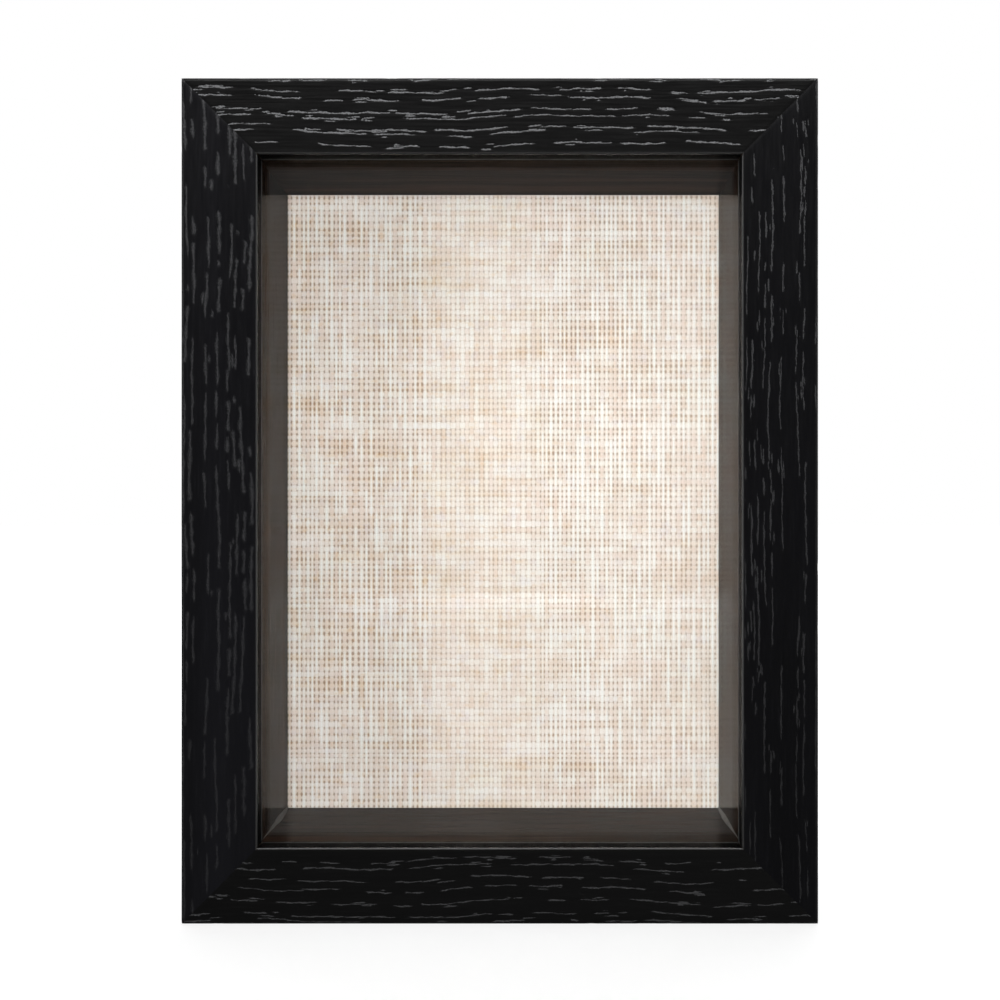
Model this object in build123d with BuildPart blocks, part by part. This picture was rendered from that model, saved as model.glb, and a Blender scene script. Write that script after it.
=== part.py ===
from build123d import *
import os

# A shadow box: four mitred lengths of deep moulding hold glass behind their lip, spacers that
# keep a display space behind the glass, and a linen-lined back that comes out from the rear.
# Millimetres. +Z is up, the front faces -Y, and +X is on the right seen from the front.
# The origin is on the underside, at the middle of the frame's width and depth.

os.makedirs("parts", exist_ok=True)

# ---------------------------------------------------------------- driving sizes

# The insert is the one size that glass, pin board and back panel are cut to.
insert_width = 127.0
insert_height = 178.0
insert_clearance = 0.5  # between the insert's edge and the rabbet wall, each side

# Layers behind the lip, from front to back
glass_thickness = 2.0
spacer_depth = 38.0
linen_thickness = 0.8
board_thickness = 3.0
panel_thickness = 3.0
panel_recess = 0.2  # how far the back panel lies below the rails' rear face

# Moulding
wall_thickness = 13.75  # outside face to rabbet wall
lip_overlap = 4.5  # how far the lip covers the insert's edge
lip_thickness = 6.0
outer_rounding = 1.0
sight_rounding = 0.5
rear_rounding = 0.5

# Small rounding of the pieces that the moulding holds
spacer_thickness = 3.0
glass_seam = 0.2
panel_seam = 0.4
notch_radius = 9.0  # finger notch in the back panel's lower edge

# V-nails that pin each mitre
v_nail_leg = 5.0
v_nail_gauge = 0.5
v_nail_depth = 10.0
v_nail_margin = 2.0  # nail to outside face, and nail to rabbet wall

# Turn buttons and their screws
button_spread = 110.0  # upper pair to lower pair
button_reach = 17.5  # pivot to tip
button_pivot_radius = 4.5
button_tip_radius = 3.0
button_gauge = 1.0
button_rounding = 0.2
button_play = 0.1  # under and over the button
screw_radius = 1.5
screw_clearance = 0.075  # around the screw in the button's hole
screw_grip = 10.0  # length in the wood
screw_head_radius = 2.75
screw_head_height = 1.8
recess_length = 3.2
recess_width = 0.8
recess_depth = 1.0

# Sawtooth hangers and their nails
hanger_length = 44.0
hanger_width = 7.0
hanger_gauge = 0.6
hanger_rise = 1.6  # how far the bridge stands off the frame
foot_length = 9.0
ramp_length = 2.0
tooth_pitch = 2.0
tooth_height = 1.2
nail_radius = 0.7
nail_grip = 9.0
nail_head_radius = 1.6
nail_head_height = 0.6

# ---------------------------------------------------------------- derived places

rabbet_width = lip_overlap + insert_clearance
rail_face = wall_thickness + rabbet_width
back_thickness = linen_thickness + board_thickness + panel_thickness
rabbet_depth = glass_thickness + spacer_depth + back_thickness + panel_recess
rail_depth = lip_thickness + rabbet_depth

outer_width = insert_width + 2 * (insert_clearance + wall_thickness)
outer_height = insert_height + 2 * (insert_clearance + wall_thickness)
middle = outer_height / 2  # height of the frame's centre

front = -rail_depth / 2
rear = rail_depth / 2
glass_front = front + lip_thickness
spacer_front = glass_front + glass_thickness
linen_front = spacer_front + spacer_depth
board_front = linen_front + linen_thickness
panel_front = board_front + board_thickness

button_front = rear + button_play
head_seat = button_front + button_gauge + button_play
pivot_spacing = outer_width - wall_thickness  # pivots stand on the middle of the side walls
nail_spacing = hanger_length - foot_length


def upright(depth):
    """The upright plane at a depth along Y: X runs right, Y up, and solids go back from it."""
    return Plane(origin=(0, depth, middle), x_dir=(1, 0, 0), z_dir=(0, -1, 0))


# Each side of the frame by the way it runs and the way that is inward, in a ring.
sides = {
    "bottom": (Vector(1, 0, 0), Vector(0, 0, 1)),
    "right": (Vector(0, 0, 1), Vector(-1, 0, 0)),
    "top": (Vector(-1, 0, 0), Vector(0, 0, -1)),
    "left": (Vector(0, 0, -1), Vector(1, 0, 0)),
}


def side_cuts(side, width, height, depth):
    """For one side of an upright rectangle whose front is at a depth: the plane of its section,
    with X inward and Y forward, its length, and the planes of the 45 degree cuts at its ends."""
    along, inward = sides[side]
    length = abs(along.X) * width + abs(along.Z) * height
    reach = (abs(inward.X) * width + abs(inward.Z) * height) / 2
    start = Vector(0, depth, middle) - along * (length / 2) - inward * reach
    section = Plane(origin=start, x_dir=inward, z_dir=along)
    mitres = (
        Plane(origin=start, z_dir=along - inward),
        Plane(origin=start + along * length, z_dir=-along - inward),
    )
    return section, length, mitres


def wall_rear(side):
    """The rear face of one rail's wall, at its middle: X along it, Y outwards, Z to the rear."""
    along, inward = sides[side]
    reach = (abs(inward.X) * outer_width + abs(inward.Z) * outer_height - wall_thickness) / 2
    return Plane(origin=Vector(0, rear, middle) - inward * reach, x_dir=along, z_dir=(0, 1, 0))


# ---------------------------------------------------------------- shared outlines


def v_nail_outlines():
    """Two V-nails across each mitre, apex to the corner, so that one leg is in each rail."""
    nearest = v_nail_margin
    furthest = wall_thickness - v_nail_margin - v_nail_leg
    corners = [(-1, -1), (1, -1), (1, 1), (-1, 1)]
    for quarter, (right, up) in enumerate(corners):
        for inset in (nearest, furthest):
            apex = (right * (outer_width / 2 - inset), up * (outer_height / 2 - inset))
            with Locations(Location(apex, quarter * 90.0)):
                Rectangle(v_nail_leg, v_nail_gauge, align=Align.MIN)
                Rectangle(v_nail_gauge, v_nail_leg, align=Align.MIN)


def pivot_outlines(radius):
    """A circle at each turn button's pivot."""
    with GridLocations(pivot_spacing, button_spread, 2, 2):
        Circle(radius)


def nail_outlines(radius):
    """A circle at each end of a hanger."""
    with GridLocations(nail_spacing, 0, 2, 1):
        Circle(radius)


hanger_sides = {"hanger_portrait": "top", "hanger_landscape": "left"}

# ---------------------------------------------------------------- moulding

for side in sides:
    section, length, mitres = side_cuts(side, outer_width, outer_height, front)
    with BuildPart() as rail:
        with BuildSketch(section) as moulding:
            Rectangle(rail_face, rail_depth, align=(Align.MIN, Align.MAX))
            with Locations((rail_face, -lip_thickness)):
                Rectangle(
                    rabbet_width, rabbet_depth, align=(Align.MAX, Align.MAX), mode=Mode.SUBTRACT
                )
            outer_front = moulding.vertices().sort_by_distance((0, 0))[0]
            fillet(outer_front, outer_rounding)
            sight_front = moulding.vertices().sort_by_distance((rail_face, 0))[0]
            fillet(sight_front, sight_rounding)
            sight_rear = moulding.vertices().sort_by_distance((rail_face, -lip_thickness))[0]
            chamfer(sight_rear, sight_rounding)
            outer_rear = moulding.vertices().sort_by_distance((0, -rail_depth))[0]
            fillet(outer_rear, rear_rounding)
        extrude(amount=length)
        for mitre in mitres:
            split(bisect_by=mitre, keep=Keep.TOP)
        with BuildSketch(upright(rear)):
            v_nail_outlines()
        extrude(amount=v_nail_depth, mode=Mode.SUBTRACT)
        with BuildSketch(upright(rear)):
            pivot_outlines(screw_radius)
        extrude(amount=screw_grip, mode=Mode.SUBTRACT)
        if side in hanger_sides.values():
            with BuildSketch(wall_rear(side)):
                nail_outlines(nail_radius)
            extrude(amount=-nail_grip, mode=Mode.SUBTRACT)
    rail.part.label = f"{side}_rail"
    export_step(rail.part, f"parts/{side}_rail.step")

with BuildPart() as mitre_v_nails:
    with BuildSketch(upright(rear)):
        v_nail_outlines()
    extrude(amount=v_nail_depth)
mitre_v_nails.part.label = "mitre_v_nails"
export_step(mitre_v_nails.part, "parts/mitre_v_nails.step")

# ---------------------------------------------------------------- glass and spacers

with BuildPart() as glass_pane:
    with BuildSketch(upright(glass_front)):
        Rectangle(insert_width, insert_height)
    extrude(amount=-glass_thickness)
    chamfer(glass_pane.edges(), glass_seam)
glass_pane.part.label = "glass_pane"
export_step(glass_pane.part, "parts/glass_pane.step")

for side in sides:
    section, length, mitres = side_cuts(side, insert_width, insert_height, spacer_front)
    with BuildPart() as spacer:
        with BuildSketch(section):
            Rectangle(spacer_thickness, spacer_depth, align=(Align.MIN, Align.MAX))
        extrude(amount=length)
        for mitre in mitres:
            split(bisect_by=mitre, keep=Keep.TOP)
    spacer.part.label = f"spacer_{side}"
    export_step(spacer.part, f"parts/spacer_{side}.step")

# ---------------------------------------------------------------- linen-lined back

with BuildPart() as linen_cover:
    with BuildSketch(upright(linen_front)):
        Rectangle(insert_width, insert_height)
    extrude(amount=-linen_thickness)
linen_cover.part.label = "linen_cover"
export_step(linen_cover.part, "parts/linen_cover.step")

with BuildPart() as pin_board:
    with BuildSketch(upright(board_front)):
        Rectangle(insert_width, insert_height)
    extrude(amount=-board_thickness)
pin_board.part.label = "pin_board"
export_step(pin_board.part, "parts/pin_board.step")

with BuildPart() as back_panel:
    with BuildSketch(upright(panel_front)):
        Rectangle(insert_width, insert_height)
        with Locations((0, -insert_height / 2)):
            Circle(notch_radius, mode=Mode.SUBTRACT)
    extrude(amount=-panel_thickness)
    chamfer(back_panel.faces().sort_by(Axis.Y)[-1].edges(), panel_seam)
back_panel.part.label = "back_panel"
export_step(back_panel.part, "parts/back_panel.step")

# ---------------------------------------------------------------- turn buttons

# Each hangs from its screw along the side wall, clear of the back; a quarter turn inwards
# brings its tip over the back panel.
pivots = {
    "upper_left": (-pivot_spacing / 2, button_spread / 2),
    "upper_right": (pivot_spacing / 2, button_spread / 2),
    "lower_left": (-pivot_spacing / 2, -button_spread / 2),
    "lower_right": (pivot_spacing / 2, -button_spread / 2),
}

for place, (across, up) in pivots.items():
    with BuildPart() as turn_button:
        with BuildSketch(upright(button_front)):
            with Locations((across, up)):
                Circle(button_pivot_radius)
            with Locations((across, up - button_reach + button_tip_radius)):
                Circle(button_tip_radius)
            make_hull()
            with Locations((across, up)):
                Circle(screw_radius + screw_clearance, mode=Mode.SUBTRACT)
        extrude(amount=-button_gauge)
        outer_face = turn_button.faces().sort_by(Axis.Y)[-1]
        fillet(outer_face.outer_wire().edges(), button_rounding)
    turn_button.part.label = f"turn_button_{place}"
    export_step(turn_button.part, f"parts/turn_button_{place}.step")

with BuildPart() as turn_button_screws:
    with BuildSketch(upright(head_seat)):
        pivot_outlines(screw_radius)
    extrude(amount=head_seat - rear + screw_grip)
    chamfer(turn_button_screws.edges().group_by(Axis.Y)[0], screw_radius * 0.9)
    with BuildSketch(upright(head_seat)):
        pivot_outlines(screw_head_radius)
    extrude(amount=-screw_head_height)
    fillet(turn_button_screws.edges().group_by(Axis.Y)[-1], screw_head_height / 2)
    with BuildSketch(upright(head_seat + screw_head_height)):
        with GridLocations(pivot_spacing, button_spread, 2, 2):
            Rectangle(recess_length, recess_width)
            Rectangle(recess_width, recess_length)
    extrude(amount=recess_depth, mode=Mode.SUBTRACT)
turn_button_screws.part.label = "turn_button_screws"
export_step(turn_button_screws.part, "parts/turn_button_screws.step")

# ---------------------------------------------------------------- hangers

# A strip with two feet nailed to the wall and a raised bridge between them, whose inward
# edge has teeth that catch a nail in the room's wall.
bridge_half = hanger_length / 2 - foot_length - ramp_length
ramp_half = hanger_length / 2 - foot_length
tooth_count = int(2 * bridge_half / tooth_pitch)

for name, side in hanger_sides.items():
    flat = wall_rear(side)
    inner_edge = -hanger_width / 2
    profile = Plane(
        origin=flat.from_local_coords((0, inner_edge, 0)), x_dir=flat.x_dir, z_dir=-flat.y_dir
    )
    with BuildPart() as hanger:
        with BuildSketch(profile):
            with BuildLine():
                Polyline(
                    (-hanger_length / 2, 0),
                    (-ramp_half, 0),
                    (-bridge_half, hanger_rise),
                    (bridge_half, hanger_rise),
                    (ramp_half, 0),
                    (hanger_length / 2, 0),
                )
                offset(amount=hanger_gauge, side=Side.LEFT)
            make_face()
        extrude(amount=-hanger_width)
        with BuildSketch(flat):
            with Locations((0, inner_edge)):
                with GridLocations(tooth_pitch, 0, tooth_count, 1):
                    Polygon(
                        (-tooth_pitch / 2, 0), (tooth_pitch / 2, 0), (0, tooth_height), align=None
                    )
        extrude(amount=hanger_rise + hanger_gauge, mode=Mode.SUBTRACT)
        with BuildSketch(flat):
            nail_outlines(nail_radius)
        extrude(amount=hanger_gauge, mode=Mode.SUBTRACT)
    hanger.part.label = name
    export_step(hanger.part, f"parts/{name}.step")

with BuildPart() as hanger_nails:
    for side in hanger_sides.values():
        with BuildSketch(wall_rear(side)):
            nail_outlines(nail_radius)
        extrude(amount=-nail_grip)
        with BuildSketch(wall_rear(side)):
            nail_outlines(nail_radius)
        extrude(amount=hanger_gauge)
        with BuildSketch(wall_rear(side).offset(hanger_gauge)):
            nail_outlines(nail_head_radius)
        extrude(amount=nail_head_height)
hanger_nails.part.label = "hanger_nails"
export_step(hanger_nails.part, "parts/hanger_nails.step")
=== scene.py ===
import math
from types import SimpleNamespace
import bpy
import numpy as np
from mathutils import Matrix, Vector


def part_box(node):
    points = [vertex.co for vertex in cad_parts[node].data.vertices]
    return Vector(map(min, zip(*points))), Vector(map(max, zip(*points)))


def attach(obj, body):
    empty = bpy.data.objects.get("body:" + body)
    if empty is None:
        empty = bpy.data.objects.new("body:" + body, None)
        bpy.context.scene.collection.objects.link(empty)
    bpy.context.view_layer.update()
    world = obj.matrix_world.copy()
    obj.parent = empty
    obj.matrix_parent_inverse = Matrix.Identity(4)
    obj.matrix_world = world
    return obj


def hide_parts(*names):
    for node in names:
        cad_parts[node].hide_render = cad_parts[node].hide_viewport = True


# A shadow box: black open-pore moulding, glossy black spacers and a natural linen back.
# Metres, in the part's own frame. Grain, weave and pore sizes below are in millimetres.

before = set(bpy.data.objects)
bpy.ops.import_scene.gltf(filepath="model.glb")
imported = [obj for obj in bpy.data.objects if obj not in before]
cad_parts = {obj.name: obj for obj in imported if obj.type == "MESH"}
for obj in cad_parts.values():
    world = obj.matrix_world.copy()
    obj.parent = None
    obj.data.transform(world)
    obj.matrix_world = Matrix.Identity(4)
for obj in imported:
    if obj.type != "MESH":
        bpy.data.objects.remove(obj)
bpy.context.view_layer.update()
MM = 0.001

# ---------------------------------------------------------------- places from the frame

low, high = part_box("left_rail")
front, rear = low[1] / MM, high[1] / MM
outer_width = 2 * -low[0] / MM
outer_height = high[2] / MM
rail_face = (high[0] - low[0]) / MM
rail_depth = rear - front
middle = outer_height / 2

glass_low, glass_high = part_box("glass_pane")
lip_thickness = glass_low[1] / MM - front
insert_width = (glass_high[0] - glass_low[0]) / MM
insert_height = (glass_high[2] - glass_low[2]) / MM
insert_clearance = 0.5  # between the insert and the wall behind the lip
wall_thickness = (outer_width - insert_width) / 2 - insert_clearance

linen_low, linen_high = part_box("linen_cover")
linen_front, board_front = linen_low[1] / MM, linen_high[1] / MM

# ---------------------------------------------------------------- shared helpers


def srgb(red, green, blue):
    """A screen colour, 0 to 255, as the linear colour that shaders take."""
    parts = [value / 255 for value in (red, green, blue)]
    linear = [p / 12.92 if p <= 0.04045 else ((p + 0.055) / 1.055) ** 2.4 for p in parts]
    return (*linear, 1.0)


def add(tree, kind, inputs=None, **settings):
    """Adds a shader node, sets its properties, and gives each input a value or a link."""
    node = tree.nodes.new("ShaderNode" + kind)
    for key, value in settings.items():
        setattr(node, key, value)
    for key, value in (inputs or {}).items():
        if isinstance(value, bpy.types.NodeSocket):
            tree.links.new(value, node.inputs[key])
        else:
            node.inputs[key].default_value = value
    return node


def math_node(tree, operation, first, second=0.0, clamp=False):
    """The result of one operation on one or two values."""
    node = add(tree, "Math", {0: first, 1: second}, operation=operation, use_clamp=clamp)
    return node.outputs[0]


def ramp(tree, value, start, end, low_value=0.0, high_value=1.0):
    """Maps start..end smoothly to low_value..high_value."""
    node = add(
        tree,
        "MapRange",
        {0: value, 1: start, 2: end, 3: low_value, 4: high_value},
        interpolation_type="SMOOTHSTEP",
    )
    return node.outputs[0]


def mix(tree, share, first, second):
    """Mixes two colours by a share from 0 to 1."""
    node = add(tree, "Mix", {0: share, 6: first, 7: second}, data_type="RGBA")
    return node.outputs[2]


def noise(tree, vector, scale, detail=3.0, roughness=0.5, stretch=(1, 1, 1)):
    """Noise with features of about 1 / scale metres, divided by stretch along each axis."""
    stretched = add(tree, "Mapping", {0: vector, 3: stretch}).outputs[0]
    inputs = {"Vector": stretched, "Scale": scale, "Detail": detail, "Roughness": roughness}
    return add(tree, "TexNoise", inputs).outputs[0]


def bump(tree, height, distance, strength=1.0):
    """A normal bumped by a height, with the distance in metres."""
    inputs = {"Height": height, "Distance": distance, "Strength": strength}
    return add(tree, "Bump", inputs).outputs[0]


def the_node(tree, kind):
    """The first node of a kind that a new tree already holds."""
    return next(n for n in tree.nodes if n.type == kind)


def new_material(name):
    """A material with its Principled shader, and the object's own coordinates."""
    material = bpy.data.materials.new(name)
    material.use_nodes = True
    tree = material.node_tree
    shader = the_node(tree, "BSDF_PRINCIPLED")
    place = add(tree, "TexCoord").outputs["Object"]
    return material, tree, shader, place


def wire(tree, shader, **inputs):
    """Sets or links the shader's inputs, named with _ for a space."""
    for key, value in inputs.items():
        socket = shader.inputs[key.replace("_", " ")]
        if isinstance(value, bpy.types.NodeSocket):
            tree.links.new(value, socket)
        else:
            socket.default_value = value


def scaled(colour, share):
    """A colour made darker or paler by a share."""
    return tuple(part * share for part in colour[:3]) + (1,)


def drawn_out(axis, share):
    """A stretch for noise that is drawn out along one axis."""
    stretch = [1.0, 1.0, 1.0]
    stretch[axis] = share
    return stretch


def give(names, material):
    """Puts one material on CAD nodes."""
    for name in names:
        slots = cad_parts[name].data.materials
        slots.clear()
        slots.append(material)


def smooth_noise(rng, rows, cols, cell_rows, cell_cols):
    """Smooth random values from 0 to 1 on a grid, with features of about the given cells."""
    coarse_rows = int(rows / cell_rows) + 3
    coarse_cols = int(cols / cell_cols) + 3
    coarse = rng.random((coarse_rows, coarse_cols))
    r = np.arange(rows) / cell_rows
    c = np.arange(cols) / cell_cols
    r0, c0 = r.astype(int), c.astype(int)
    rf, cf = r - r0, c - c0
    rf = (rf * rf * (3 - 2 * rf))[:, None]
    cf = (cf * cf * (3 - 2 * cf))[None, :]
    top = coarse[r0][:, c0] * (1 - cf) + coarse[r0][:, c0 + 1] * cf
    bottom = coarse[r0 + 1][:, c0] * (1 - cf) + coarse[r0 + 1][:, c0 + 1] * cf
    return top * (1 - rf) + bottom * rf


def grid_faces(rows, cols):
    """The quads between neighbouring points of a grid."""
    index = np.arange(rows * cols).reshape(rows, cols)
    corners = [index[:-1, :-1], index[:-1, 1:], index[1:, 1:], index[1:, :-1]]
    return list(np.stack(corners, axis=-1).reshape(-1, 4))


def mesh_object(name, points, faces, layers=None):
    """An object from points in millimetres and faces, with named values at its points."""
    mesh = bpy.data.meshes.new(name)
    sizes = np.array([len(face) for face in faces])
    starts = np.concatenate([[0], np.cumsum(sizes)[:-1]])
    mesh.vertices.add(len(points))
    mesh.vertices.foreach_set("co", (np.asarray(points, dtype=np.float64) * MM).ravel())
    mesh.loops.add(int(sizes.sum()))
    mesh.loops.foreach_set("vertex_index", np.concatenate([np.asarray(f) for f in faces]))
    mesh.polygons.add(len(faces))
    mesh.polygons.foreach_set("loop_start", starts)
    for key, values in (layers or {}).items():
        layer = mesh.attributes.new(key, "FLOAT", "POINT")
        layer.data.foreach_set("value", np.asarray(values, dtype=np.float32))
    mesh.update(calc_edges=True)
    mesh.validate()
    piece = bpy.data.objects.new(name, mesh)
    bpy.context.collection.objects.link(piece)
    return piece


# ---------------------------------------------------------------- moulding

OUTER_ROUNDING, SIGHT_ROUNDING, REAR_ROUNDING = 1.0, 0.5, 0.5
# the fine groove in the lip's inner face: where it is deepest, its depth and its two slopes
CREASE_AT, CREASE_DEPTH, CREASE_FRONT, CREASE_REAR = 4.5, 0.32, 0.15, 0.35
# pressed grain, ripples between the pores, and the hairline where a mitre closes
GRAIN_DEPTH, RIPPLE_DEPTH, MITRE_DEPTH = 0.10, 0.016, 0.06
RIPPLE_STEPS_ALONG, RIPPLE_STEPS_ACROSS = 24, 2.4
# the embossed film stops this far from the rear and from the sight edge
PLAIN_AT_REAR, PLAIN_AT_SIGHT = 1.0, 0.2
# mesh steps: fine where the grain shows, coarse where nothing does
FACE_STEP, SIDE_STEP, ALONG_STEP = 0.13, 0.36, 0.74
LIP_STEP, CREASE_STEP, CHAMFER_STEP = 0.8, 0.2, 0.4
LIP_BACK_STEP, WALL_STEP, REAR_STEP = 1.5, 8.0, 1.2
SMOOTH_BELOW = math.radians(50)

# each rail: the way along it and the way towards the opening
SIDES = {
    "bottom": (Vector((1, 0, 0)), Vector((0, 0, 1))),
    "right": (Vector((0, 0, 1)), Vector((-1, 0, 0))),
    "top": (Vector((-1, 0, 0)), Vector((0, 0, -1))),
    "left": (Vector((0, 0, -1)), Vector((1, 0, 0))),
}

# finishes along the section, and their material slots
LACQUER, BARE, MATT, ARRIS, CREASE = 0, 1, 2, 3, 4


def moulding_profile():
    """The section as points (inward, back), their outward normals, and the finish after each.
    It runs from the outer rear edge forward, across the face, over the lip and back inside."""
    points, normals, finish = [], [], []

    def straight(start, end, step, kind):
        """A straight run, which leaves its last point to the next run."""
        start, end = np.array(start), np.array(end)
        reach = float(np.linalg.norm(end - start))
        count = max(1, round(reach / step))
        along = (end - start) / reach
        for i in range(count):
            points.append(start + (end - start) * i / count)
            normals.append((along[1], -along[0]))
            finish.append(kind)

    def rounded(centre, radius, start_angle, count, kind):
        """A quarter circle, which leaves its last point to the next run."""
        for i in range(count):
            angle = math.radians(start_angle + 90 * i / count)
            direction = np.array((math.cos(angle), math.sin(angle)))
            points.append(np.array(centre) + radius * direction)
            normals.append(tuple(direction))
            finish.append(kind)

    o, s, r = OUTER_ROUNDING, SIGHT_ROUNDING, REAR_ROUNDING
    face, wall, lip = rail_face, wall_thickness, lip_thickness
    crease_start, crease_end = CREASE_AT - CREASE_FRONT, CREASE_AT + CREASE_REAR
    crease_bottom = (face - CREASE_DEPTH, CREASE_AT)
    # outer side and face
    straight((0, rail_depth - r), (0, o), SIDE_STEP, LACQUER)
    rounded((o, o), o, 180, 8, LACQUER)
    straight((o, 0), (face - s, 0), FACE_STEP, LACQUER)
    # sight edge and the lip's inner face, with its groove
    rounded((face - s, s), s, 270, 6, ARRIS)
    straight((face, s), (face, crease_start), LIP_STEP, MATT)
    straight((face, crease_start), crease_bottom, CREASE_STEP, MATT)
    straight(crease_bottom, (face, crease_end), CREASE_STEP, CREASE)
    straight((face, crease_end), (face, lip - s), LIP_STEP, MATT)
    straight((face, lip - s), (face - s, lip), CHAMFER_STEP, MATT)
    # back of the lip, wall of the rabbet and rear
    straight((face - s, lip), (wall, lip), LIP_BACK_STEP, BARE)
    straight((wall, lip), (wall, rail_depth), WALL_STEP, BARE)
    straight((wall, rail_depth), (r, rail_depth), REAR_STEP, BARE)
    rounded((r, rail_depth - r), r, 90, 3, BARE)
    return np.array(points), np.array(normals), np.array(finish)


# the grain's slow waves: size and period in mm, and how the phase turns from line to line
FLOW_WAVES = [(0.95, 87, 0.10), (0.40, 34, 0.22), (0.13, 13, 0.5)]
TURN = 6.3  # a random phase lies between 0 and about a full turn
SHORTEST_PORE, LONGEST_PORE = 2.0, 26.0
SHORTEST_BURR, LONGEST_BURR = 1.2, 4.5
TAPER = 0.8  # a line thins to nothing over this length at its ends


def draw_pores(rng, along, around, length, style):
    """Long wavy hairlines that follow the grain, with short burrs beside them.
    Each point gets 1 on a line's middle, 0.5 at its edge and 0 at twice its half width."""
    field = np.zeros(along.shape)
    spacing = np.gradient(around)[None, :]
    phases = rng.uniform(0, TURN, 3)

    def flow(position, base):
        """How far the grain's slow waves carry a line sideways."""
        shift = np.zeros_like(position)
        for (size, period, turn), phase in zip(FLOW_WAVES, phases):
            shift = shift + size * np.sin(2 * np.pi * position / period + turn * base + phase)
        return style["wave"] * shift

    def stroke(base, start, end, half_width, wander=1.0):
        """Draws one line, or nothing where it lies past the rail's ends."""
        first = max(0, int((start - 3) / length * along.shape[0]) - 4)
        last = min(along.shape[0], int((end + 3) / length * along.shape[0]) + 5)
        if first >= last:
            return
        part = along[first:last]
        wobble, rough = rng.uniform(0, TURN, 2)
        line = base + flow(part, base)
        line = line + wander * 0.07 * np.sin(part * 2 * np.pi / rng.uniform(2.6, 6.5) + wobble)
        line = line + wander * 0.04 * np.sin(part * 2 * np.pi / rng.uniform(1.5, 2.4) + rough)
        ends = np.clip(np.minimum(part - start, end - part) / TAPER, 0, 1)
        swell = 0.85 + 0.3 * np.sin(part * 2 * np.pi / rng.uniform(3, 9) + rough)
        width = np.maximum(half_width * swell, 0.55 * spacing)
        tent = 1 - np.abs(around[None, :] - line) / (2 * width)
        field[first:last] = np.maximum(field[first:last], np.clip(tent, 0, 1) * ends)

    thin, wide = style["half_width"]
    base = around[0] + rng.uniform(0, style["line_gap"])
    while base < around[-1]:
        position = rng.uniform(-8, 6)
        presence = rng.uniform(0.45, 1.0)
        while position < length:
            reach = rng.lognormal(style["reach"], 0.6)
            reach = float(np.clip(reach, SHORTEST_PORE, LONGEST_PORE))
            offset = rng.uniform(-0.3, 0.3)
            stroke(base + offset, position, position + reach, rng.uniform(thin, wide))
            for _ in range(rng.choice(style["burrs"])):
                burr = position + reach * rng.beta(2.2, 1.3)
                beside = offset + rng.choice([-1, 1]) * rng.choice([0.30, 0.50]) * wide / 0.15
                burr_end = burr + rng.uniform(SHORTEST_BURR, LONGEST_BURR)
                stroke(base + beside, burr, burr_end, rng.uniform(thin, wide), 0.2)
            position += reach + rng.exponential(style["pause"] / presence) + 0.3
        base += style["line_gap"] * rng.uniform(0.45, 1.55)
    return field


def press_film(profile, finish, along, length, style, seed):
    """Pores from 0 to 1, and how deep the film is pressed in, at every point of a rail."""
    gaps = np.linalg.norm(np.diff(profile, axis=0), axis=1)
    around = np.concatenate([[0], np.cumsum(gaps)])
    film = (finish == LACQUER) & (profile[:, 1] < rail_depth - PLAIN_AT_REAR)
    film = film & (profile[:, 0] < rail_face - SIGHT_ROUNDING - PLAIN_AT_SIGHT)
    first = int(np.argmax(film))
    chosen = slice(first, first + int(film.sum()))
    rng = np.random.default_rng(seed)
    pores = np.zeros(along.shape)
    pores[:, chosen] = draw_pores(rng, along[:, chosen], around[chosen], length, style)
    ripple = smooth_noise(rng, *along.shape, RIPPLE_STEPS_ALONG, RIPPLE_STEPS_ACROSS)
    pressed = np.clip((pores - 0.3) / 0.5, 0, 1)
    sink = GRAIN_DEPTH * pressed * pressed * (3 - 2 * pressed)
    return pores, sink + RIPPLE_DEPTH * ripple * film[None, :]


def make_rail(side, style, painted_pore_light, seed, finishes):
    """One mitred length of moulding with its pores pressed into the face and outer side."""
    along_way, inward = SIDES[side]
    vertical = abs(along_way.z) > 0.5
    length = outer_height if vertical else outer_width
    reach = (outer_width if vertical else outer_height) / 2
    start = Vector((0, front, middle)) - along_way * (length / 2) - inward * reach
    profile, normals, finish = moulding_profile()
    steps = round(length / ALONG_STEP)
    share = np.linspace(0, 1, steps + 1)[:, None]
    inset = profile[None, :, 0]
    along = inset + (length - 2 * inset) * share
    pores, sink = press_film(profile, finish, along, length, style, seed)
    # a hairline where the mitre closes
    at_mitre = np.clip(1 - np.minimum(share, 1 - share) * steps, 0, 1)
    sink = sink + MITRE_DEPTH * at_mitre
    move_in = profile[None, :, 0] - normals[None, :, 0] * sink
    move_back = profile[None, :, 1] - normals[None, :, 1] * sink
    points = (
        np.array(start)
        + np.array(along_way) * along[..., None]
        + np.array(inward) * move_in[..., None]
        + np.array((0, 1, 0)) * move_back[..., None]
    )
    # quads all round the section, closed by one face at each mitre
    rows, cols = along.shape
    index = np.arange(rows * cols).reshape(rows, cols)
    ahead = np.roll(index, -1, axis=1)
    quads = np.stack([index[:-1], ahead[:-1], ahead[1:], index[1:]], axis=-1).reshape(-1, 4)
    faces = list(quads) + [index[0][::-1], index[-1]]
    layers = {
        "pore": pores.ravel(),
        # how bright the pores' painted highlight is at each point, set per rail
        "painted_shading": painted_pore_light(points).ravel(),
        "mitre": np.broadcast_to(at_mitre, along.shape).ravel(),
    }
    rail = mesh_object(f"moulding_{side}", points.reshape(-1, 3), faces, layers)
    slots = np.concatenate([np.tile(finish, rows - 1), [BARE, BARE]])
    for kind in (LACQUER, BARE, MATT, ARRIS, CREASE):
        rail.data.materials.append(finishes[kind])
    rail.data.polygons.foreach_set("material_index", slots.astype(np.int32))
    rail.data.shade_smooth()
    rail.data.set_sharp_from_angle(angle=SMOOTH_BELOW)
    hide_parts(f"{side}_rail")
    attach(rail, "frame")


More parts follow.
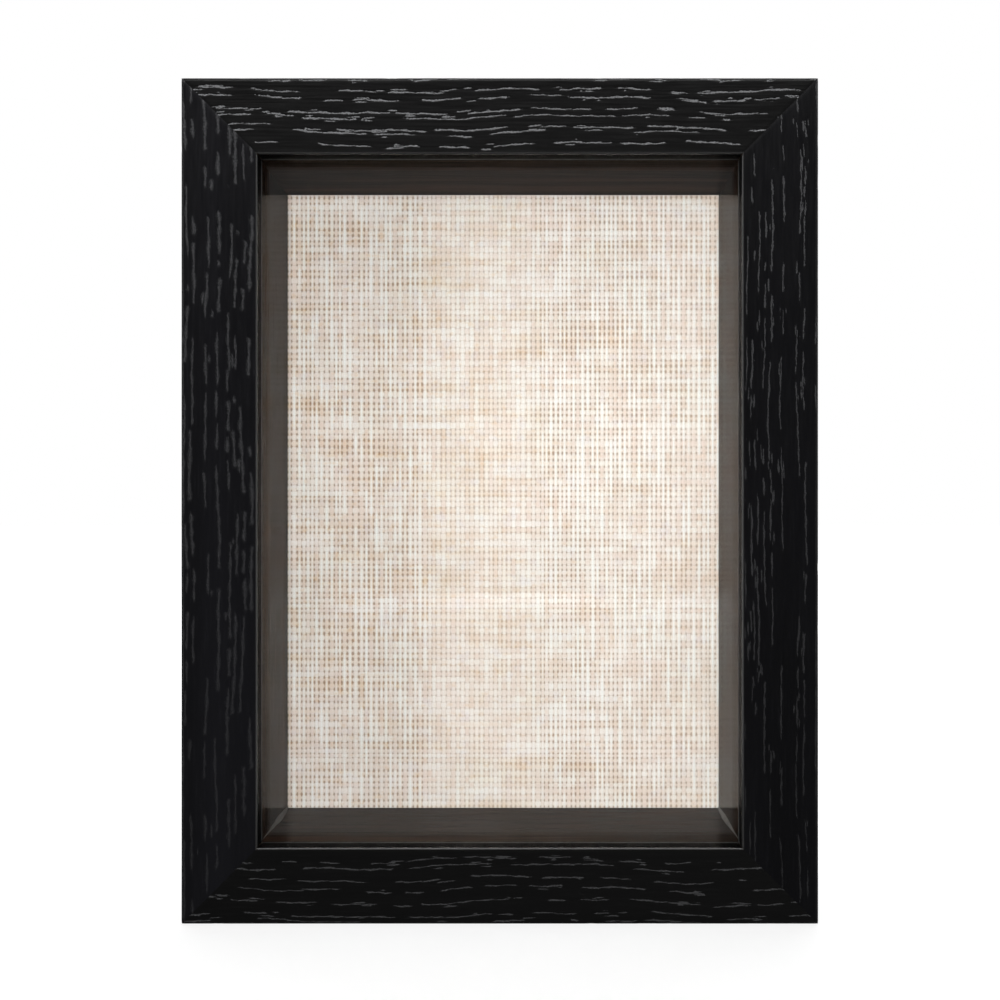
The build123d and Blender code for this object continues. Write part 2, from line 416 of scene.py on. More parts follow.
def rail_material(name, lacquer, along_axis, edge):
    """Black satin lacquer over pressed grain, greyer in its pores, whose edges may be soft. The
    pores' grey is partly dust and partly a painted highlight, scaled per rail by a value stored at
    each point.
    """
    material, tree, shader, place = new_material(name)
    along = drawn_out(along_axis, 0.06)
    pore = add(tree, "Attribute", attribute_name="pore").outputs["Fac"]
    painted_shading = add(tree, "Attribute", attribute_name="painted_shading").outputs["Fac"]
    fine = noise(tree, place, 1800, 4, 0.6, along)
    broad = noise(tree, place, 90, 3, 0.5, along)
    fray = noise(tree, place, 4200, 2, 0.6, drawn_out(along_axis, 0.45))
    frayed = math_node(tree, "ADD", pore, ramp(tree, fray, 0.3, 0.7, -0.24, 0.24))
    line = ramp(tree, frayed, *edge)
    body = mix(tree, ramp(tree, broad, 0.3, 0.7), scaled(lacquer, 0.6), lacquer)
    body = mix(tree, ramp(tree, fine, 0.55, 0.8, 0, 0.6), body, scaled(lacquer, 1.7))
    # painted highlight: how pale each rail's pores show, set by how light falls on that rail
    pore_dust_and_highlight = math_node(tree, "MULTIPLY", painted_shading, ramp(tree, fray, 0.25, 0.75, 0.75, 1.15))
    colour = mix(tree, math_node(tree, "MULTIPLY", line, pore_dust_and_highlight), body, srgb(203, 204, 207))
    satin = ramp(tree, fine, 0.3, 0.7, 0.30, 0.42)
    rough = math_node(tree, "ADD", satin, math_node(tree, "MULTIPLY", line, 0.3))
    relief = math_node(tree, "ADD", fine, math_node(tree, "MULTIPLY", broad, 0.6))
    wire(
        tree,
        shader,
        Base_Color=colour,
        Roughness=rough,
        Specular_IOR_Level=0.15,
        Normal=bump(tree, relief, 0.00005, 0.5),
    )
    return material


def board_material():
    """Raw medium-density fibreboard, with a dark seam where the mitres meet."""
    material, tree, shader, place = new_material("raw_board")
    seam = add(tree, "Attribute", attribute_name="mitre").outputs["Fac"]
    fibres = noise(tree, place, 2100, 6, 0.75)
    cloud = noise(tree, place, 55, 3, 0.5)
    colour = mix(tree, ramp(tree, fibres, 0.36, 0.64), srgb(132, 103, 72), srgb(186, 156, 118))
    colour = mix(tree, ramp(tree, cloud, 0.3, 0.7, 0, 0.35), colour, srgb(140, 110, 78))
    colour = mix(tree, math_node(tree, "MULTIPLY", seam, 0.8), colour, srgb(62, 46, 32))
    wire(
        tree,
        shader,
        Base_Color=colour,
        Roughness=ramp(tree, fibres, 0.3, 0.7, 0.8, 0.92),
        Specular_IOR_Level=0.2,
        Normal=bump(tree, fibres, 0.00008, 0.6),
    )
    return material


def sight_material(name, level, rough_low, rough_high, thin, thick):
    """Plain black paint on the sight edge, where the embossed film stops: two greys, 0 to 255. The
    groove's copy takes pale greys as a painted highlight line.
    """
    material, tree, shader, place = new_material(name)
    brush = noise(tree, place, 2200, 4, 0.6)
    wear = noise(tree, place, 260, 3, 0.6)
    low_tone, high_tone = srgb(thin, thin, thin), srgb(thick, thick, thick)
    colour = mix(tree, ramp(tree, brush, 0.3, 0.7), low_tone, high_tone)
    colour = mix(tree, ramp(tree, wear, 0.58, 0.75, 0, 0.35), colour, srgb(34, 32, 30))
    wire(
        tree,
        shader,
        Base_Color=colour,
        Roughness=ramp(tree, brush, 0.3, 0.7, rough_low, rough_high),
        Specular_IOR_Level=level,
        Normal=bump(tree, brush, 0.00001, 0.2),
    )
    return material


def even_pore_light(painted_shading):
    """Pores whose painted highlight is alike all along a rail."""
    return lambda points: np.full(points.shape[:-1], painted_shading)


def pore_light_fading_down(points):
    """Pores on the upright rails get a painted highlight that fades lower down, away from the
    light above.
    """
    height = points[..., 2] / outer_height
    return 0.015 + 0.058 * np.clip((height - 0.15) / 0.85, 0, 1) ** 1.3


# line_gap, half_width and pause in mm; reach is the logarithm of a usual length in mm;
# burrs are the counts to choose from beside a line; wave scales the slow waves
LEVEL_GRAIN = {
    "line_gap": 2.15,
    "half_width": (0.11, 0.19),
    "reach": 2.35,
    "pause": 2.6,
    "burrs": [0, 0, 1, 2, 3],
    "wave": 0.7,
}
BROAD_GRAIN = {
    "line_gap": 2.7,
    "half_width": (0.26, 0.46),
    "reach": 2.3,
    "pause": 4.5,
    "burrs": [0, 0, 0, 1],
    "wave": 0.45,
}
UPRIGHT_GRAIN = {
    "line_gap": 2.6,
    "half_width": (0.13, 0.22),
    "reach": 2.3,
    "pause": 4.0,
    "burrs": [0, 0, 1, 2, 3],
    "wave": 0.45,
}
CRISP, SOFT = (0.42, 0.62), (0.18, 1.25)  # how sharply a pore's grey begins
# each rail: its grain, how bright the painted highlight in its pores is (brightest on the top rail
# and fading down the upright ones, as light from above falls), a seed, the lacquer (a touch
# lighter or darker on each rail: painted light and shade), the grain's axis, the edges
RAILS = {
    "top": (LEVEL_GRAIN, even_pore_light(0.22), 11, srgb(8, 8, 8), 0, CRISP),
    "bottom": (LEVEL_GRAIN, even_pore_light(0.045), 12, srgb(7, 7, 7), 0, CRISP),
    "left": (BROAD_GRAIN, pore_light_fading_down, 13, srgb(11, 11, 14), 2, SOFT),
    "right": (UPRIGHT_GRAIN, pore_light_fading_down, 14, srgb(6, 6, 8), 2, CRISP),
}
board = board_material()
matt = sight_material("sight_matt", 0.002, 0.24, 0.34, 8, 16)
arris = sight_material("sight_arris", 0.6, 0.10, 0.16, 24, 34)
# the groove's rear slope is painted pale grey: a painted highlight along the lip
crease_highlight = sight_material("sight_crease_painted_highlight", 0.6, 0.10, 0.16, 84, 104)
for side, (style, painted_shading, seed, lacquer, axis, edge) in RAILS.items():
    lacquered = rail_material(f"lacquer_{side}", lacquer, axis, edge)
    finishes = {LACQUER: lacquered, BARE: board, MATT: matt, ARRIS: arris, CREASE: crease_highlight}
    make_rail(side, style, painted_shading, seed, finishes)

# ---------------------------------------------------------------- linen

WARPS, WEFTS = 95, 103  # threads across and up
UNEVENNESS, NARROWEST, WIDEST = 0.13, 0.65, 1.45  # of a thread's width, as shares
YARN_HEIGHT, CRIMP = 0.20, 0.15
# each yarn's least thickness, and what its slubs add, as shares
WARP_THICKNESS, WARP_SLUBS = 0.80, 0.45
WEFT_THICKNESS, WEFT_SLUBS = 0.78, 0.50
THREAD_DRIFT, LINEN_RECESS = 0.10, 0.02
FRACTIONS = (0.0, 0.3, 0.7)  # where the mesh has points across each thread


def thread_edges(rng, count, size):
    """Where threads meet across the cloth: uneven widths that fill the size."""
    widths = 1 + UNEVENNESS * rng.standard_normal(count)
    widths = np.clip(widths, NARROWEST, WIDEST)
    return np.concatenate([[0], np.cumsum(widths)]) * size / widths.sum()


def yarn_profile(fraction):
    """The height of a round yarn across its width, up to 1 on its middle."""
    return np.sqrt(np.clip(1 - 0.95 * (2 * fraction - 1) ** 2, 0, 1))


def weave_heights(rng, u, v):
    """How far the cloth stands forward where u threads across and v threads up meet."""
    rows, cols = v.size, u.size
    # each yarn has its own thickness that swells into slubs along it
    warp_swell = WARP_THICKNESS + WARP_SLUBS * smooth_noise(rng, rows, WARPS, 26, 1)
    weft_swell = WEFT_THICKNESS + WEFT_SLUBS * smooth_noise(rng, WEFTS, cols, 1, 30)

    def over(iu, iv):
        """Heights of both yarns at every point, for one choice of threads at shared edges."""
        fu = np.clip(u[None, :] - iu, 0, 1)
        fv = np.clip(v[:, None] - iv, 0, 1)
        warp = YARN_HEIGHT * warp_swell[np.arange(rows)[:, None], iu] * yarn_profile(fu)
        weft = YARN_HEIGHT * weft_swell[iv, np.arange(cols)[None, :]] * yarn_profile(fv)
        warp = warp + CRIMP * np.cos(np.pi * (v[:, None] - 0.5) + np.pi * iu)
        weft = weft - CRIMP * np.cos(np.pi * (u[None, :] - 0.5) + np.pi * iv)
        return warp, weft

    iu_up = np.clip(np.floor(u), 0, WARPS - 1).astype(int)[None, :]
    iv_up = np.clip(np.floor(v), 0, WEFTS - 1).astype(int)[:, None]
    iu_down = np.clip(np.ceil(u) - 1, 0, WARPS - 1).astype(int)[None, :]
    iv_down = np.clip(np.ceil(v) - 1, 0, WEFTS - 1).astype(int)[:, None]
    warp_a, weft_a = over(iu_up, iv_up)
    warp_b, weft_b = over(iu_down, iv_down)
    warp, weft = np.maximum(warp_a, warp_b), np.maximum(weft_a, weft_b)
    return np.maximum(warp, weft)


def thread_counts(count):
    """Where the mesh has its points, counted in threads."""
    return np.array([k + f for k in range(count) for f in FRACTIONS] + [count], dtype=float)


def make_linen():
    """A plain weave as one cloth: yarns with slubs pass over and under each other."""
    rng = np.random.default_rng(21)
    u, v = thread_counts(WARPS), thread_counts(WEFTS)
    x = np.interp(u, np.arange(WARPS + 1), thread_edges(rng, WARPS, insert_width))
    z = np.interp(v, np.arange(WEFTS + 1), thread_edges(rng, WEFTS, insert_height))
    rows, cols = v.size, u.size
    warp_top = YARN_HEIGHT * (WARP_THICKNESS + WARP_SLUBS) + CRIMP
    depth = linen_front + LINEN_RECESS + (warp_top - weave_heights(rng, u, v))
    # the edge is turned down to the board behind, and stays straight
    edge = np.zeros((rows, cols), dtype=bool)
    edge[0], edge[-1], edge[:, 0], edge[:, -1] = True, True, True, True
    depth[edge] = board_front
    left, bottom = -insert_width / 2, middle - insert_height / 2
    drift_x = THREAD_DRIFT * (smooth_noise(rng, rows, cols, 50, 12) - 0.5) * ~edge
    drift_z = THREAD_DRIFT * (smooth_noise(rng, rows, cols, 12, 50) - 0.5) * ~edge
    points = np.stack([left + x[None, :] + drift_x, depth, bottom + z[:, None] + drift_z], axis=-1)
    linen = mesh_object("linen_weave", points.reshape(-1, 3), grid_faces(rows, cols))
    # each point's place in threads, for the material
    threads = linen.data.uv_layers.new(name="threads")
    corners = np.empty(len(linen.data.loops), dtype=int)
    linen.data.loops.foreach_get("vertex_index", corners)
    count_u = np.tile(u, rows)[corners]
    count_v = np.repeat(v, cols)[corners]
    threads.data.foreach_set("uv", np.stack([count_u, count_v], axis=1).ravel())
    linen.data.shade_smooth()
    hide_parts("linen_cover")
    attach(linen, "back")
    return linen


# the third colour is the painted highlight along each float's middle
CREAM, PALE_CREAM, CROWN_HIGHLIGHT = srgb(244, 225, 216), srgb(255, 247, 243), srgb(255, 251, 249)
TAN, LILAC, PINK = srgb(237, 202, 158), srgb(238, 230, 238), srgb(246, 218, 202)
FIBRE_SHADE, BLEACHED, EDGE_SHADE = srgb(226, 202, 184), srgb(253, 246, 246), srgb(206, 184, 160)
# a grey used as painted shade on the lower part of the cloth
PAINTED_SHADE_GREY = srgb(70, 60, 54)
# colours of the painted shade in the gaps
GAP_SHADE_GREY, GAP_SHADE_BROWN = srgb(172, 154, 136), srgb(176, 136, 92)
# where the band that is painted as washed out by light starts and ends
WASH_START, WASH_END = (28, 34), (48, 62)  # in threads across
SHADE_BELOW = (0.25 * WEFTS, 0.65 * WEFTS)  # in threads up
GAP_FADES = (0.58 * WARPS, WARPS)  # in threads across


def from_edge(tree, count):
    """0 between two threads, 0.5 on a thread's middle."""
    return math_node(tree, "PINGPONG", count, 0.5)


def yarn_noise(tree, number, run, run_scale, salt):
    """A slow random value along each yarn, unlike its neighbours."""
    apart = math_node(tree, "MULTIPLY", math_node(tree, "FLOOR", number), 3.71)
    slow = math_node(tree, "MULTIPLY", run, run_scale)
    vector = add(tree, "CombineXYZ", {0: apart, 1: slow, 2: salt}).outputs[0]
    return add(tree, "TexNoise", {"Vector": vector, "Scale": 1.0, "Detail": 2.0}).outputs[0]


def weave_fields(tree):
    """Each point's place in the weave, and the random values that its colours come from."""
    threads = add(tree, "UVMap", uv_map="threads").outputs[0]
    split = add(tree, "SeparateXYZ", {0: threads})
    across, up = split.outputs[0], split.outputs[1]
    count = math_node(tree, "ADD", math_node(tree, "FLOOR", across), math_node(tree, "FLOOR", up))
    warp_hue = yarn_noise(tree, across, up, 0.06, 13.0)
    weft_hue = yarn_noise(tree, up, across, 0.05, 19.0)
    # painted light: in one band of the cloth the painted gap shade and float highlights are
    # weaker, as where the light washes the cloth out
    wash_start = ramp(tree, across, *WASH_START)
    wash_end = ramp(tree, across, *WASH_END, 1, 0)
    return SimpleNamespace(
        across=across,
        up=up,
        side=from_edge(tree, across),
        end=from_edge(tree, up),
        parity=math_node(tree, "PINGPONG", count, 1.0),
        warp_tone=yarn_noise(tree, across, up, 0.11, 1.0),
        weft_tone=yarn_noise(tree, up, across, 0.11, 7.0),
        hue=math_node(tree, "MULTIPLY", math_node(tree, "ADD", warp_hue, weft_hue), 0.5),
        patch=noise(tree, threads, 0.085, 3, 0.6, (1.2, 1, 1)),
        tint=noise(tree, threads, 0.30, 2, 0.5, (1, 1.3, 1)),
        fleck=noise(tree, threads, 0.9, 2, 0.6, (0.45, 1, 1)),
        band=noise(tree, threads, 0.36, 3, 0.6, (0.07, 1, 1)),
        fibres=noise(tree, threads, 6.0, 3, 0.6),
        washed_band=math_node(tree, "MULTIPLY", wash_start, wash_end),
    )


def tanning(tree, weave):
    """How tanned the flax is: by patches, yarns, flecks and bands, and more to one side."""
    patches = ramp(tree, weave.patch, 0.52, 0.70, 0, 0.6)
    tanned = math_node(tree, "ADD", patches, ramp(tree, weave.hue, 0.50, 0.62, 0, 0.9))
    tanned = math_node(tree, "ADD", tanned, ramp(tree, weave.fleck, 0.56, 0.72, 0, 1.2))
    tanned = math_node(tree, "ADD", tanned, ramp(tree, weave.band, 0.52, 0.68, 0, 0.75))
    sideways = ramp(tree, weave.across, 0, WARPS, 0.36, 0.16)
    return math_node(tree, "MULTIPLY", tanned, sideways, clamp=True)


def flax_colour(tree, weave, tanned):
    """The yarns' own colour, with painted shade and highlights as on round floats, and painted
    shade towards the bottom.
    """
    tone_share = ramp(tree, weave.parity, 0, 1, 0.32, 0.72)
    tone = mix(tree, tone_share, weave.weft_tone, weave.warp_tone)
    yarn = mix(tree, ramp(tree, tone, 0.36, 0.64), CREAM, PALE_CREAM)
    yarn = mix(tree, tanned, yarn, TAN)
    yarn = mix(tree, ramp(tree, weave.tint, 0.56, 0.7, 0, 0.35), yarn, LILAC)
    yarn = mix(tree, ramp(tree, weave.tint, 0.44, 0.3, 0, 0.2), yarn, PINK)
    yarn = mix(tree, ramp(tree, weave.fibres, 0.3, 0.7, 0.3, 0), yarn, FIBRE_SHADE)
    yarn = mix(tree, ramp(tree, weave.band, 0.46, 0.34, 0, 0.32), yarn, BLEACHED)
    # each float gets painted shade beside its edges and a painted highlight along its middle, as a
    # round yarn is lit
    beside = mix(tree, weave.parity, weave.end, weave.side)
    yarn = mix(tree, ramp(tree, beside, 0.02, 0.24, 0.36, 0), yarn, EDGE_SHADE)
    ridge = ramp(tree, weave.side, 0.24, 0.46)
    crown_highlight = math_node(tree, "MULTIPLY", ridge, ramp(tree, weave.warp_tone, 0.4, 0.6))
    # the painted highlight is weaker in the band washed out by light
    crown_highlight = math_node(tree, "MULTIPLY", crown_highlight, ramp(tree, weave.washed_band, 0, 1, 0.8, 0.3))
    yarn = mix(tree, crown_highlight, yarn, CROWN_HIGHLIGHT)
    # painted shade: the cloth is a little darker and greyer below its middle, where less light
    # reaches it
    return mix(tree, ramp(tree, weave.up, *SHADE_BELOW, 0.11, 0), yarn, PAINTED_SHADE_GREY)


def gap_share(tree, weave):
    """Where four threads meet they leave a gap, which thick yarns close. Its dark is partly the
    board behind and partly painted shade, and it fades towards the right side.
    """
    upward = math_node(tree, "MULTIPLY", weave.end, 0.66)
    side_squared = math_node(tree, "POWER", weave.side, 2.0)
    up_squared = math_node(tree, "POWER", upward, 2.0)
    away = math_node(tree, "SQRT", math_node(tree, "ADD", side_squared, up_squared))
    loose = ramp(tree, weave.hue, 0.40, 0.62, 0.14, 0.24)
    loose = math_node(tree, "SUBTRACT", loose, ramp(tree, weave.weft_tone, 0.50, 0.66, 0, 0.05))
    loose = math_node(tree, "ADD", loose, ramp(tree, weave.band, 0.38, 0.64, -0.02, 0.03))
    loose = math_node(tree, "SUBTRACT", loose, ramp(tree, weave.warp_tone, 0.54, 0.70, 0, 0.05))
    ragged = ramp(tree, weave.fibres, 0.3, 0.7, -0.05, 0.05)
    gap = math_node(tree, "SUBTRACT", math_node(tree, "ADD", loose, ragged), away)
    gap = ramp(tree, gap, -0.08, 0.10, 0, 0.76)
    # the painted gap shade is weaker in the band washed out by light
    gap = math_node(tree, "MULTIPLY", gap, ramp(tree, weave.washed_band, 0, 1, 1, 0.6))
    return math_node(tree, "MULTIPLY", gap, ramp(tree, weave.across, *GAP_FADES, 1, 0.72))


def linen_material():
    """Flax yarns of uneven cream, tan and grey, with brown gaps where four threads meet. The grey
    towards the bottom, the shade and highlights along the floats and part of the gaps' dark are
    painted light and shade.
    """
    material, tree, shader, _ = new_material("natural_linen")
    weave = weave_fields(tree)
    tanned = tanning(tree, weave)
    yarn = flax_colour(tree, weave, tanned)
    gap = gap_share(tree, weave)
    # painted shade in the gaps, standing for the shaded board behind, browner where the flax is
    # tanned
    painted_shading = mix(tree, tanned, GAP_SHADE_GREY, GAP_SHADE_BROWN)
    shadow = add(
        tree, "Mix", {0: 1.0, 6: yarn, 7: painted_shading}, data_type="RGBA", blend_type="MULTIPLY"
    ).outputs[2]
    colour = mix(tree, gap, yarn, shadow)
    relief = math_node(tree, "SUBTRACT", weave.fibres, math_node(tree, "MULTIPLY", gap, 1.5))
    wire(
        tree,
        shader,
        Base_Color=colour,
        Roughness=0.85,
        Specular_IOR_Level=0.12,
        Sheen_Weight=0.1,
        Sheen_Roughness=0.5,
        Normal=bump(tree, relief, 0.00008, 0.6),
    )
    return material


make_linen().data.materials.append(linen_material())

# ---------------------------------------------------------------- other materials


def spacer_material(name, along_axis, level):
    """Black film with a mirror gloss, fine lines along each strip and brown rubs. Its brown-grey
    ground is partly a painted reflection of the linen.
    """
    material, tree, shader, place = new_material(name)
    along = drawn_out(along_axis, 0.025)
    lines = noise(tree, place, 1500, 4, 0.65, along)
    rubs = noise(tree, place, 110, 3, 0.5, along)
    # brown-grey ground: black film with a painted reflection of the linen
    colour = mix(tree, ramp(tree, lines, 0.35, 0.7), srgb(32, 26, 22), srgb(54, 44, 38))
    colour = mix(tree, ramp(tree, rubs, 0.50, 0.70, 0, 0.6), colour, srgb(70, 52, 43))
    wire(
        tree,
        shader,
        Base_Color=colour,
        Roughness=ramp(tree, lines, 0.3, 0.7, 0.07, 0.15),
        Specular_IOR_Level=level,
        Specular_Tint=(1.0, 0.75, 0.62, 1.0),
        Normal=bump(tree, lines, 0.00003, 0.35),
    )
    return material


def glass_material():
    """Clear float glass that lets lamp light through to the display space."""
    material, tree, shader, place = new_material("float_glass")
    smear = noise(tree, place, 60, 3, 0.5)
    tint = mix(tree, ramp(tree, smear, 0.3, 0.7), srgb(253, 255, 254), srgb(249, 253, 251))
    wire(tree, shader, Base_Color=tint, Roughness=0.0, Transmission_Weight=1.0, IOR=1.45)
    clear = add(tree, "BsdfTransparent", {0: (0.94, 0.95, 0.945, 1)}).outputs[0]
    shadow = add(tree, "LightPath").outputs["Is Shadow Ray"]
    both = add(tree, "MixShader", {0: shadow, 1: shader.outputs[0], 2: clear}).outputs[0]
    output = the_node(tree, "OUTPUT_MATERIAL")
    tree.links.new(both, output.inputs[0])
    return material


def fibreboard_material():
    """Soft board under the linen: grey-buff fibres, rough on its cut edges."""
    material, tree, shader, place = new_material("soft_board")
    fibres = noise(tree, place, 1600, 5, 0.7)
    layers = noise(tree, place, 900, 3, 0.6, (0.1, 1, 0.1))
    colour = mix(tree, ramp(tree, fibres, 0.3, 0.7), srgb(150, 136, 115), srgb(196, 183, 160))
    colour = mix(tree, ramp(tree, layers, 0.5, 0.7, 0, 0.4), colour, srgb(128, 112, 92))
    wire(
        tree,
        shader,
        Base_Color=colour,
        Roughness=0.92,
        Specular_IOR_Level=0.2,
        Normal=bump(tree, fibres, 0.0002, 0.7),
    )
    return material


def hardboard_material():
    """Brown tempered hardboard: a smooth face with short dark fibres and soft scuffs."""
    material, tree, shader, place = new_material("hardboard")
    fibres = noise(tree, place, 1100, 5, 0.7, (1, 1, 0.45))
    flecks = noise(tree, place, 2400, 2, 0.5, (0.5, 1, 1))
    cloud = noise(tree, place, 28, 3, 0.5)
    scuffs = noise(tree, place, 160, 2, 0.4, (0.15, 1, 1))
    colour = mix(tree, ramp(tree, fibres, 0.3, 0.7), srgb(92, 62, 41), srgb(132, 96, 66))
    colour = mix(tree, ramp(tree, flecks, 0.62, 0.74, 0, 0.7), colour, srgb(62, 40, 26))
    colour = mix(tree, ramp(tree, cloud, 0.35, 0.7, 0, 0.3), colour, srgb(146, 110, 78))
    wire(
        tree,
        shader,
        Base_Color=colour,
        Roughness=ramp(tree, scuffs, 0.5, 0.72, 0.42, 0.6),
        Specular_IOR_Level=0.4,
        Normal=bump(tree, fibres, 0.00008, 0.5),
    )
    return material


def steel_material(name, tint, brushing, roughness):
    """Plated steel: fine brushing along one axis, mottled plating and faint handling marks."""
    material, tree, shader, place = new_material(name)
    lines = noise(tree, place, 5200, 3, 0.6, brushing)
    spangle = add(tree, "TexVoronoi", {"Vector": place, "Scale": 700.0}).outputs["Color"]
    plating = noise(tree, spangle, 1.3, 1, 0.5)
    marks = noise(tree, place, 380, 4, 0.6)
    dark = scaled(tint, 0.72)
    colour = mix(tree, ramp(tree, plating, 0.3, 0.7), dark, tint)
    colour = mix(tree, ramp(tree, marks, 0.58, 0.75, 0, 0.45), colour, dark)
    rough = math_node(tree, "ADD", ramp(tree, lines, 0.3, 0.7, -0.06, 0.08), roughness)
    wire(
        tree,
        shader,
        Base_Color=colour,
        Metallic=1.0,
        Roughness=rough,
        Normal=bump(tree, lines, 0.00002, 0.35),
    )
    return material


# each wall's film reflects its own amount: the top one least, as painted shade where less light
# falls
give(["spacer_top"], spacer_material("spacer_film_top_painted_shade", 0, 0.001))
give(["spacer_bottom"], spacer_material("spacer_film_bottom", 0, 0.006))
give(["spacer_left", "spacer_right"], spacer_material("spacer_film_upright", 2, 0.0058))
give(["glass_pane"], glass_material())
give(["pin_board"], fibreboard_material())
give(["back_panel"], hardboard_material())
ZINC = srgb(198, 198, 196)
LEVEL, UPRIGHT, ALL_WAYS = (0.05, 1, 1), (1, 1, 0.05), (1, 1, 1)  # which way steel is brushed
buttons = [
    f"turn_button_{place}" for place in ("upper_left", "upper_right", "lower_left", "lower_right")
]
give(buttons, steel_material("bright_zinc", srgb(205, 206, 205), UPRIGHT, 0.30))
give(["hanger_portrait"], steel_material("hanger_zinc_level", ZINC, LEVEL, 0.32))
give(["hanger_landscape"], steel_material("hanger_zinc_upright", ZINC, UPRIGHT, 0.32))
give(["turn_button_screws"], steel_material("screw_zinc", srgb(196, 192, 180), ALL_WAYS, 0.28))
give(["hanger_nails"], steel_material("nail_brass_wash", srgb(200, 176, 122), ALL_WAYS, 0.33))
give(["mitre_v_nails"], steel_material("v_nail_steel", srgb(150, 150, 150), ALL_WAYS, 0.45))

# ---------------------------------------------------------------- film laps at the lower corners

inner_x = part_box("spacer_right")[0][0] / MM
inner_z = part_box("spacer_bottom")[1][2] / MM
LAP_WIDTH, LAP_STEPS, LAP_FILM = 0.85, 48, 0.08
BEHIND_GLASS, BEFORE_LINEN, OFF_STRIP = 0.6, 0.1, 0.03


def make_lap(side, seed):
    """Where two strips of film meet, the cut end of one curls up across the corner."""
    rng = np.random.default_rng(seed)
    share = np.linspace(0, 1, LAP_STEPS + 1)
    glass_back = glass_high[1] / MM
    run = linen_front - glass_back - (BEHIND_GLASS + BEFORE_LINEN)
    depth = glass_back + BEHIND_GLASS + share * run
    shape = np.exp(-(((share - 0.68) / 0.30) ** 2)) * np.clip(share / 0.15, 0, 1)
    width = LAP_WIDTH * shape * (0.85 + 0.3 * smooth_noise(rng, share.size, 1, 3, 1)[:, 0]) + 0.05
    arc = np.linspace(0, math.pi / 2, 6)
    ring_in = 1 - np.sin(arc)
    ring_up = 1 - np.cos(arc)
    x = inner_x - OFF_STRIP - width[:, None] * ring_in[None, :]
    z = inner_z + OFF_STRIP + width[:, None] * ring_up[None, :]
    points = np.stack([side * x, np.broadcast_to(depth[:, None], x.shape), z], axis=-1)
    name = "film_lap_right" if side > 0 else "film_lap_left"
    lap = mesh_object(name, points.reshape(-1, 3), grid_faces(*x.shape))
    lap.data.shade_smooth()
    skin = lap.modifiers.new("thickness", "SOLIDIFY")
    skin.thickness = LAP_FILM * MM
    skin.offset = 0
    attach(lap, "frame")
    return lap


def lap_material(name, low_tone, high_tone):
    """The film's grey paper back, with fibres and dark rubs along the curl."""
    material, tree, shader, place = new_material(name)
    fibres = noise(tree, place, 2400, 4, 0.65, (1, 0.3, 1))
    rubs = noise(tree, place, 420, 3, 0.6, (1, 0.5, 1))
    colour = mix(tree, ramp(tree, fibres, 0.3, 0.7), low_tone, high_tone)
    colour = mix(tree, ramp(tree, rubs, 0.5, 0.7, 0, 0.5), colour, srgb(38, 35, 33))
    wire(
        tree,
        shader,
        Base_Color=colour,
        Roughness=ramp(tree, fibres, 0.3, 0.7, 0.5, 0.7),
        Specular_IOR_Level=0.25,
        Normal=bump(tree, fibres, 0.00005, 0.5),
    )
    return material


# one paper for both laps: the left one is painted darker as painted shade, the right one lighter
# where the light falls
make_lap(1, 31).data.materials.append(
    lap_material("lap_paper_right_lit", srgb(66, 65, 63), srgb(94, 93, 90))
)
make_lap(-1, 32).data.materials.append(
    lap_material("lap_paper_left_shaded", srgb(50, 48, 46), srgb(72, 69, 66))
)

# ---------------------------------------------------------------- floor, camera and light


FLOOR_RADIUS, FLOOR_SIDES = 6000.0, 64
GLOW_REACH, GLOW = (0.10, 0.40), (0.80, 1.02)  # metres from the box, and the floor's own light
WORLD_FILL = 0.20
LENS, SHIFT = 43.9, (-0.026, 0.005)
EYE_ASIDE, EYE_AHEAD, EYE_BELOW = 6.4, 297, 1  # mm from the middle, the front and mid-height


def make_floor():
    """A plain pale floor that the eye sees as white round the box, and that isn't mirrored."""
    angles = np.linspace(0, 2 * math.pi, FLOOR_SIDES + 1)[:-1]
    ring = [(FLOOR_RADIUS * math.cos(a), FLOOR_RADIUS * math.sin(a), 0) for a in angles]
    floor = mesh_object("floor", ring, [list(range(FLOOR_SIDES))])
    material, tree, shader, place = new_material("pale_floor")
    cloud = noise(tree, place, 3, 2, 0.5)
    pale = mix(tree, ramp(tree, cloud, 0.3, 0.7), srgb(152, 152, 152), srgb(156, 156, 156))
    wire(tree, shader, Base_Color=pale, Roughness=0.9, Specular_IOR_Level=0.1)
    seen = add(tree, "LightPath").outputs["Is Camera Ray"]
    away = add(tree, "VectorMath", {0: place}, operation="LENGTH").outputs["Value"]
    glow = math_node(tree, "MULTIPLY", seen, ramp(tree, away, *GLOW_REACH, *GLOW))
    wire(tree, shader, Emission_Color=(1, 1, 1, 1), Emission_Strength=glow)
    floor.data.materials.append(material)
    floor.visible_glossy = False


def make_camera():
    """The view along +Y from a little right of the middle, shifted to hold the box in frame."""
    camera = bpy.data.cameras.new("camera")
    camera.sensor_width = 36.0
    camera.lens = LENS
    camera.shift_x, camera.shift_y = SHIFT
    camera.clip_start, camera.clip_end = 0.01, 50
    eye = bpy.data.objects.new("camera", camera)
    eye.location = (EYE_ASIDE * MM, (front - EYE_AHEAD) * MM, (middle - EYE_BELOW) * MM)
    eye.rotation_euler = (math.radians(90), 0, 0)
    bpy.context.collection.objects.link(eye)
    bpy.context.scene.camera = eye


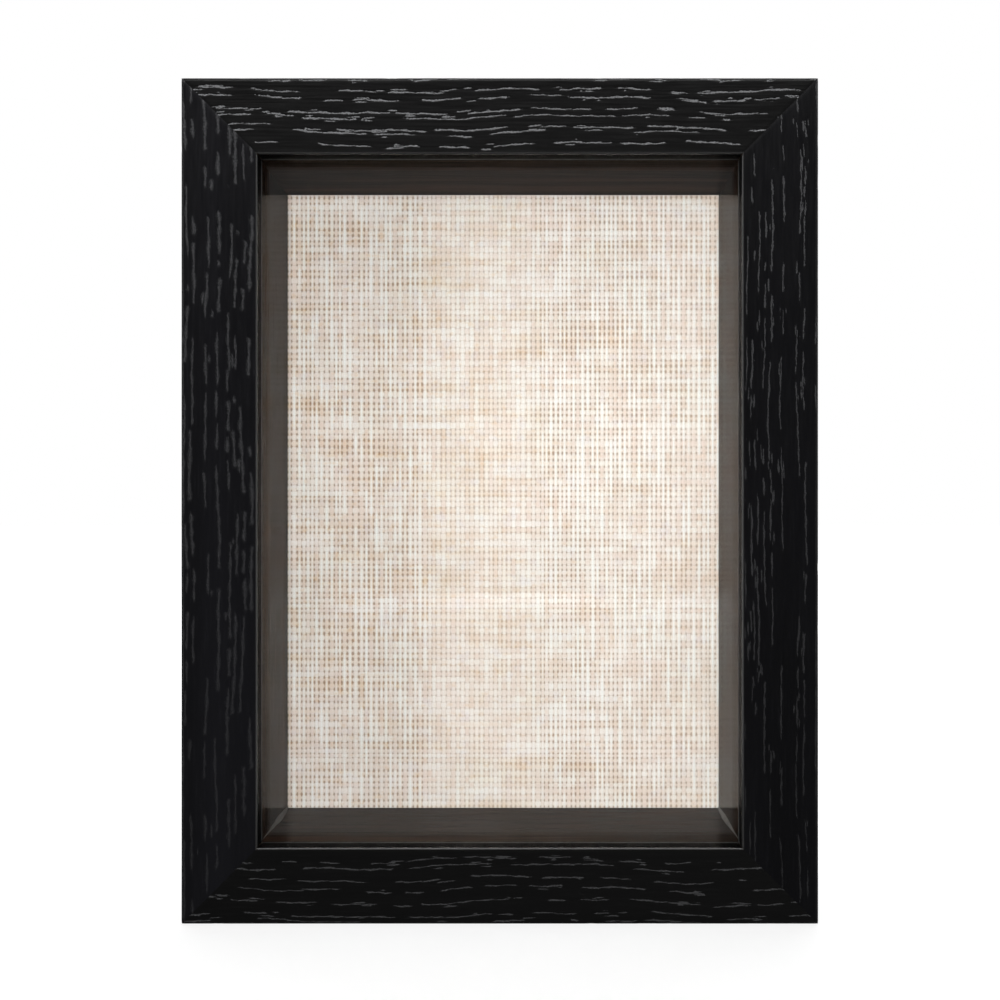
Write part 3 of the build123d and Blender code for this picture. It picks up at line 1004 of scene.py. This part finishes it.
def softbox(name, place, width, height, power, matt=True, gloss=True):
    """A soft rectangular light that looks at the box and isn't itself seen.
    It can be kept out of matt or glossy surfaces, as a polarised studio light is."""
    lamp = bpy.data.lights.new(name, "AREA")
    lamp.shape = "RECTANGLE"
    lamp.size, lamp.size_y = width, height
    lamp.energy = power
    light = bpy.data.objects.new(name, lamp)
    light.location = place
    aim = Vector((0, 0, middle * MM)) - Vector(place)
    light.rotation_euler = aim.to_track_quat("-Z", "Y").to_euler()
    light.visible_camera = False
    light.visible_transmission = False
    light.visible_diffuse = matt
    light.visible_glossy = gloss
    bpy.context.collection.objects.link(light)


def make_world():
    """A white studio to the eye, and a dim even fill for the light."""
    world = bpy.data.worlds.new("studio")
    bpy.context.scene.world = world
    world.use_nodes = True
    tree = world.node_tree
    fill = the_node(tree, "BACKGROUND")
    fill.inputs[0].default_value = (1, 1, 1, 1)
    fill.inputs[1].default_value = WORLD_FILL
    white = add(tree, "Background", {0: (1, 1, 1, 1), 1: 1.0}).outputs[0]
    seen = add(tree, "LightPath").outputs["Is Camera Ray"]
    both = add(tree, "MixShader", {0: seen, 1: fill.outputs[0], 2: white}).outputs[0]
    output = the_node(tree, "OUTPUT_WORLD")
    tree.links.new(both, output.inputs[0])


make_floor()
make_camera()
make_world()
softbox("front", (-0.006, -1.15, 0.117), 0.10, 0.14, 10.2, gloss=False)
softbox("front_left", (-0.85, -0.95, 0.17), 0.35, 0.30, 4.1, gloss=False)
softbox("left", (-0.95, -0.50, 0.25), 0.25, 0.9, 3.0)
softbox("right", (0.90, -0.55, 0.20), 0.25, 0.9, 2.2)
softbox("upper", (0.0, -0.75, 0.95), 1.2, 0.22, 9, matt=False)
softbox("overhead", (0.0, 0.35, 1.20), 0.9, 0.6, 7)
softbox("rear_left", (0.70, 0.85, 0.45), 0.8, 0.8, 2.5)
softbox("rear_right", (-0.80, 0.75, 0.50), 0.8, 0.8, 2.5)
softbox("rear", (0.1, 1.0, 0.75), 0.8, 0.5, 6, gloss=False)
bpy.context.scene.view_settings.view_transform = "Standard"
bpy.context.scene.view_settings.look = "None"
